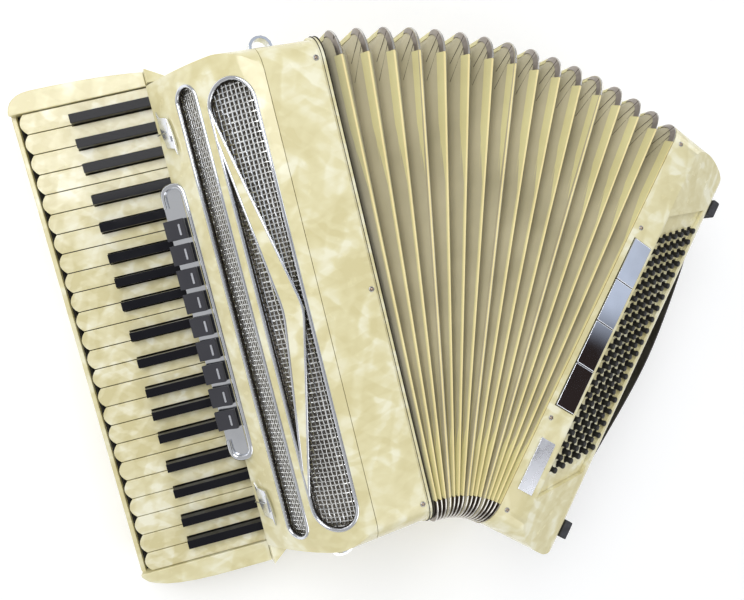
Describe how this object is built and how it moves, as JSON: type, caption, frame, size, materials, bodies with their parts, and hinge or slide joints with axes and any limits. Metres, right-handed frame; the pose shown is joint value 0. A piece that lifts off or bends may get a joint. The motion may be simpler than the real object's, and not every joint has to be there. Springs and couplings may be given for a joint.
{
  "type": "piano accordion",
  "caption": "Full-size piano accordion lying on its back with the bellows fanned open; keys, registers, buttons and bellows move.",
  "frame": {"origin": "middle of the footprint, on the surface that the back lies on", "axes": "+X from the keyboard towards the bass side, +Y towards the chin end, +Z out of the front grille"},
  "size_m": [0.742, 0.5954, 0.2015],
  "materials": {
    "pearloid": "cream mother-of-pearl celluloid, polished",
    "white_key": "cream pearl key tops, polished",
    "black_key": "polished black",
    "chrome": "polished chrome",
    "steel": "satin steel",
    "wood": "bare maple and spruce",
    "cloth": "pleated card covered with cloth, cream tape on the edges",
    "leather": "black padded leather",
    "rubber": "dark rubber"
  },
  "bodies": {
    "treble_side": {"treble_casing": "pearloid", "grille_cover": "pearloid", "grille_mesh_wide": "steel", "grille_mesh_narrow": "steel", "grille_bolt_trim": "pearloid", "register_bezel": "chrome", "keyboard_bed": "pearloid", "key_axle": "steel", "treble_reed_block": "wood", "treble_bellows_frame": "wood", "strap_bracket_top": "chrome", "strap_bracket_bottom": "chrome", "cover_clip_top": "chrome", "cover_clip_bottom": "chrome"},
    "bellows_ring_1": {"bellows_ring_1": "cloth", "bellows_pleats_1": "cloth"},
    "bellows_ring_2": {"bellows_ring_2": "cloth", "bellows_pleats_2": "cloth"},
    "bellows_ring_3": {"bellows_ring_3": "cloth", "bellows_pleats_3": "cloth"},
    "bass_side": {"bass_casing": "pearloid", "bass_button_board": "pearloid", "maker_plate": "steel", "bass_reed_block": "wood", "bass_foot_top": "rubber", "bass_foot_bottom": "rubber", "bass_strap": "leather", "bellows_pleats_4": "cloth"},
    "white_keys_low": {"white_keys_low": "white_key"},
    "black_keys_low": {"black_keys_low": "black_key"},
    "white_key_c4": {"white_key_c4": "white_key"},
    "white_key_d4": {"white_key_d4": "white_key"},
    "white_key_e4": {"white_key_e4": "white_key"},
    "white_key_f4": {"white_key_f4": "white_key"},
    "white_key_g4": {"white_key_g4": "white_key"},
    "white_key_a4": {"white_key_a4": "white_key"},
    "white_key_b4": {"white_key_b4": "white_key"},
    "black_key_cs4": {"black_key_cs4": "black_key"},
    "black_key_ds4": {"black_key_ds4": "black_key"},
    "black_key_fs4": {"black_key_fs4": "black_key"},
    "black_key_gs4": {"black_key_gs4": "black_key"},
    "black_key_as4": {"black_key_as4": "black_key"},
    "white_keys_high": {"white_keys_high": "white_key"},
    "black_keys_high": {"black_keys_high": "black_key"},
    "treble_register_1": {"treble_register_1": "black_key"},
    "treble_register_2": {"treble_register_2": "black_key"},
    "treble_register_3": {"treble_register_3": "black_key"},
    "treble_register_4": {"treble_register_4": "black_key"},
    "treble_register_5": {"treble_register_5": "black_key"},
    "treble_register_6": {"treble_register_6": "black_key"},
    "treble_register_7": {"treble_register_7": "black_key"},
    "treble_register_8": {"treble_register_8": "black_key"},
    "treble_register_9": {"treble_register_9": "black_key"},
    "bass_buttons": {"bass_buttons": "black_key"},
    "bass_register_1": {"bass_register_1": "chrome"},
    "bass_register_2": {"bass_register_2": "chrome"},
    "bass_register_3": {"bass_register_3": "chrome"},
    "bass_register_4": {"bass_register_4": "chrome"},
    "strap_wheel": {"strap_wheel": "chrome"},
    "air_button": {"air_button": "chrome"}
  },
  "joints": [
    {"name": "bellows_fan", "type": "hinge", "parent": "treble_side", "child": "bellows_ring_1", "pos_m": [-0.08428, -0.20888, 0.1], "axis": [0, 0, -1], "range_deg": [-9.9, 3.6], "deforming": ["bellows_pleats_1"]},
    {"name": "bellows_fan_2", "type": "hinge", "parent": "bellows_ring_1", "child": "bellows_ring_2", "pos_m": [-0.07136, -0.21119, 0.1], "axis": [0, 0, -1], "range_deg": [-11.32, 4.15], "deforming": ["bellows_pleats_2"]},
    {"name": "bellows_fan_3", "type": "hinge", "parent": "bellows_ring_2", "child": "bellows_ring_3", "pos_m": [-0.05831, -0.21626, 0.1], "axis": [0, 0, -1], "range_deg": [-11.32, 4.15], "deforming": ["bellows_pleats_3"]},
    {"name": "bellows_fan_4", "type": "hinge", "parent": "bellows_ring_3", "child": "bass_side", "pos_m": [-0.04651, -0.22379, 0.1], "axis": [0, 0, -1], "range_deg": [-11.32, 4.15], "deforming": ["bellows_pleats_4"]},
    {"name": "white_keys_low_press", "type": "hinge", "parent": "treble_side", "child": "white_keys_low", "pos_m": [-0.19835, 0.03649, 0.08359], "axis": [0, -1, 0], "range_deg": [0, 2], "stiffness_Nm_per_rad": 5.5, "springref_deg": -17.19},
    {"name": "black_keys_low_press", "type": "hinge", "parent": "treble_side", "child": "black_keys_low", "pos_m": [-0.19835, 0.03649, 0.08359], "axis": [0, -1, 0], "range_deg": [0, 2], "stiffness_Nm_per_rad": 4, "springref_deg": -17.19},
    {"name": "white_key_c4_press", "type": "hinge", "parent": "treble_side", "child": "white_key_c4", "pos_m": [-0.19835, 0.03649, 0.08359], "axis": [0, -1, 0], "range_deg": [0, 2], "stiffness_Nm_per_rad": 0.5, "springref_deg": -17.19},
    {"name": "white_key_d4_press", "type": "hinge", "parent": "treble_side", "child": "white_key_d4", "pos_m": [-0.19835, 0.03649, 0.08359], "axis": [0, -1, 0], "range_deg": [0, 2], "stiffness_Nm_per_rad": 0.5, "springref_deg": -17.19},
    {"name": "white_key_e4_press", "type": "hinge", "parent": "treble_side", "child": "white_key_e4", "pos_m": [-0.19835, 0.03649, 0.08359], "axis": [0, -1, 0], "range_deg": [0, 2], "stiffness_Nm_per_rad": 0.5, "springref_deg": -17.19},
    {"name": "white_key_f4_press", "type": "hinge", "parent": "treble_side", "child": "white_key_f4", "pos_m": [-0.19835, 0.03649, 0.08359], "axis": [0, -1, 0], "range_deg": [0, 2], "stiffness_Nm_per_rad": 0.5, "springref_deg": -17.19},
    {"name": "white_key_g4_press", "type": "hinge", "parent": "treble_side", "child": "white_key_g4", "pos_m": [-0.19835, 0.03649, 0.08359], "axis": [0, -1, 0], "range_deg": [0, 2], "stiffness_Nm_per_rad": 0.5, "springref_deg": -17.19},
    {"name": "white_key_a4_press", "type": "hinge", "parent": "treble_side", "child": "white_key_a4", "pos_m": [-0.19835, 0.03649, 0.08359], "axis": [0, -1, 0], "range_deg": [0, 2], "stiffness_Nm_per_rad": 0.5, "springref_deg": -17.19},
    {"name": "white_key_b4_press", "type": "hinge", "parent": "treble_side", "child": "white_key_b4", "pos_m": [-0.19835, 0.03649, 0.08359], "axis": [0, -1, 0], "range_deg": [0, 2], "stiffness_Nm_per_rad": 0.5, "springref_deg": -17.19},
    {"name": "black_key_cs4_press", "type": "hinge", "parent": "treble_side", "child": "black_key_cs4", "pos_m": [-0.19835, 0.03649, 0.08359], "axis": [0, -1, 0], "range_deg": [0, 2], "stiffness_Nm_per_rad": 0.5, "springref_deg": -17.19},
    {"name": "black_key_ds4_press", "type": "hinge", "parent": "treble_side", "child": "black_key_ds4", "pos_m": [-0.19835, 0.03649, 0.08359], "axis": [0, -1, 0], "range_deg": [0, 2], "stiffness_Nm_per_rad": 0.5, "springref_deg": -17.19},
    {"name": "black_key_fs4_press", "type": "hinge", "parent": "treble_side", "child": "black_key_fs4", "pos_m": [-0.19835, 0.03649, 0.08359], "axis": [0, -1, 0], "range_deg": [0, 2], "stiffness_Nm_per_rad": 0.5, "springref_deg": -17.19},
    {"name": "black_key_gs4_press", "type": "hinge", "parent": "treble_side", "child": "black_key_gs4", "pos_m": [-0.19835, 0.03649, 0.08359], "axis": [0, -1, 0], "range_deg": [0, 2], "stiffness_Nm_per_rad": 0.5, "springref_deg": -17.19},
    {"name": "black_key_as4_press", "type": "hinge", "parent": "treble_side", "child": "black_key_as4", "pos_m": [-0.19835, 0.03649, 0.08359], "axis": [0, -1, 0], "range_deg": [0, 2], "stiffness_Nm_per_rad": 0.5, "springref_deg": -17.19},
    {"name": "white_keys_high_press", "type": "hinge", "parent": "treble_side", "child": "white_keys_high", "pos_m": [-0.19835, 0.03649, 0.08359], "axis": [0, -1, 0], "range_deg": [0, 2], "stiffness_Nm_per_rad": 3, "springref_deg": -17.19},
    {"name": "black_keys_high_press", "type": "hinge", "parent": "treble_side", "child": "black_keys_high", "pos_m": [-0.19835, 0.03649, 0.08359], "axis": [0, -1, 0], "range_deg": [0, 2], "stiffness_Nm_per_rad": 2, "springref_deg": -17.19},
    {"name": "treble_register_1_press", "type": "hinge", "parent": "treble_side", "child": "treble_register_1", "pos_m": [-0.24307, 0.13409, 0.10805], "axis": [0, -1, 0], "range_deg": [0, 6], "stiffness_Nm_per_rad": 0.02, "springref_deg": -28.65},
    {"name": "treble_register_2_press", "type": "hinge", "parent": "treble_side", "child": "treble_register_2", "pos_m": [-0.24307, 0.10969, 0.10805], "axis": [0, -1, 0], "range_deg": [0, 6], "stiffness_Nm_per_rad": 0.02, "springref_deg": -28.65},
    {"name": "treble_register_3_press", "type": "hinge", "parent": "treble_side", "child": "treble_register_3", "pos_m": [-0.24307, 0.08529, 0.10805], "axis": [0, -1, 0], "range_deg": [0, 6], "stiffness_Nm_per_rad": 0.02, "springref_deg": -28.65},
    {"name": "treble_register_4_press", "type": "hinge", "parent": "treble_side", "child": "treble_register_4", "pos_m": [-0.24307, 0.06089, 0.10805], "axis": [0, -1, 0], "range_deg": [0, 6], "stiffness_Nm_per_rad": 0.02, "springref_deg": -28.65},
    {"name": "treble_register_5_press", "type": "hinge", "parent": "treble_side", "child": "treble_register_5", "pos_m": [-0.24307, 0.03649, 0.10805], "axis": [0, -1, 0], "range_deg": [0, 6], "stiffness_Nm_per_rad": 0.02, "springref_deg": -28.65},
    {"name": "treble_register_6_press", "type": "hinge", "parent": "treble_side", "child": "treble_register_6", "pos_m": [-0.24307, 0.01209, 0.10805], "axis": [0, -1, 0], "range_deg": [0, 6], "stiffness_Nm_per_rad": 0.02, "springref_deg": -28.65},
    {"name": "treble_register_7_press", "type": "hinge", "parent": "treble_side", "child": "treble_register_7", "pos_m": [-0.24307, -0.01231, 0.10805], "axis": [0, -1, 0], "range_deg": [0, 6], "stiffness_Nm_per_rad": 0.02, "springref_deg": -28.65},
    {"name": "treble_register_8_press", "type": "hinge", "parent": "treble_side", "child": "treble_register_8", "pos_m": [-0.24307, -0.03671, 0.10805], "axis": [0, -1, 0], "range_deg": [0, 6], "stiffness_Nm_per_rad": 0.02, "springref_deg": -28.65},
    {"name": "treble_register_9_press", "type": "hinge", "parent": "treble_side", "child": "treble_register_9", "pos_m": [-0.24307, -0.06111, 0.10805], "axis": [0, -1, 0], "range_deg": [0, 6], "stiffness_Nm_per_rad": 0.02, "springref_deg": -28.65},
    {"name": "bass_buttons_press", "type": "slide", "parent": "bass_side", "child": "bass_buttons", "axis": [-0.3227, 0.3105, -0.8942], "range_m": [0, 0.0035], "stiffness_N_per_m": 2000, "springref_m": -0.01},
    {"name": "bass_register_1_press", "type": "hinge", "parent": "bass_side", "child": "bass_register_1", "pos_m": [0.18639, -0.00337, 0.1975], "axis": [0.6934, 0.7206, 0], "range_deg": [0, 6], "stiffness_Nm_per_rad": 0.1, "springref_deg": -17.19},
    {"name": "bass_register_2_press", "type": "hinge", "parent": "bass_side", "child": "bass_register_2", "pos_m": [0.15159, -0.03955, 0.1975], "axis": [0.6934, 0.7206, 0], "range_deg": [0, 6], "stiffness_Nm_per_rad": 0.1, "springref_deg": -17.19},
    {"name": "bass_register_3_press", "type": "hinge", "parent": "bass_side", "child": "bass_register_3", "pos_m": [0.11678, -0.07572, 0.1975], "axis": [0.6934, 0.7206, 0], "range_deg": [0, 6], "stiffness_Nm_per_rad": 0.1, "springref_deg": -17.19},
    {"name": "bass_register_4_press", "type": "hinge", "parent": "bass_side", "child": "bass_register_4", "pos_m": [0.08197, -0.11189, 0.1975], "axis": [0.6934, 0.7206, 0], "range_deg": [0, 6], "stiffness_Nm_per_rad": 0.1, "springref_deg": -17.19},
    {"name": "strap_wheel_turn", "type": "hinge", "parent": "bass_side", "child": "strap_wheel", "pos_m": [0.3588, 0.00851, 0.098], "axis": [0.6934, 0.7206, 0], "range_deg": [-180, 180]},
    {"name": "air_button_press", "type": "slide", "parent": "bass_side", "child": "air_button", "axis": [-0.7206, 0.6934, 0], "range_m": [0, 0.005], "stiffness_N_per_m": 300, "springref_m": -0.01}
  ],
  "couplings": [
    {"joint": "bellows_fan_2", "follows": "bellows_fan", "ratio": 1.1429},
    {"joint": "bellows_fan_3", "follows": "bellows_fan", "ratio": 1.1429},
    {"joint": "bellows_fan_4", "follows": "bellows_fan", "ratio": 1.1429}
  ]
}
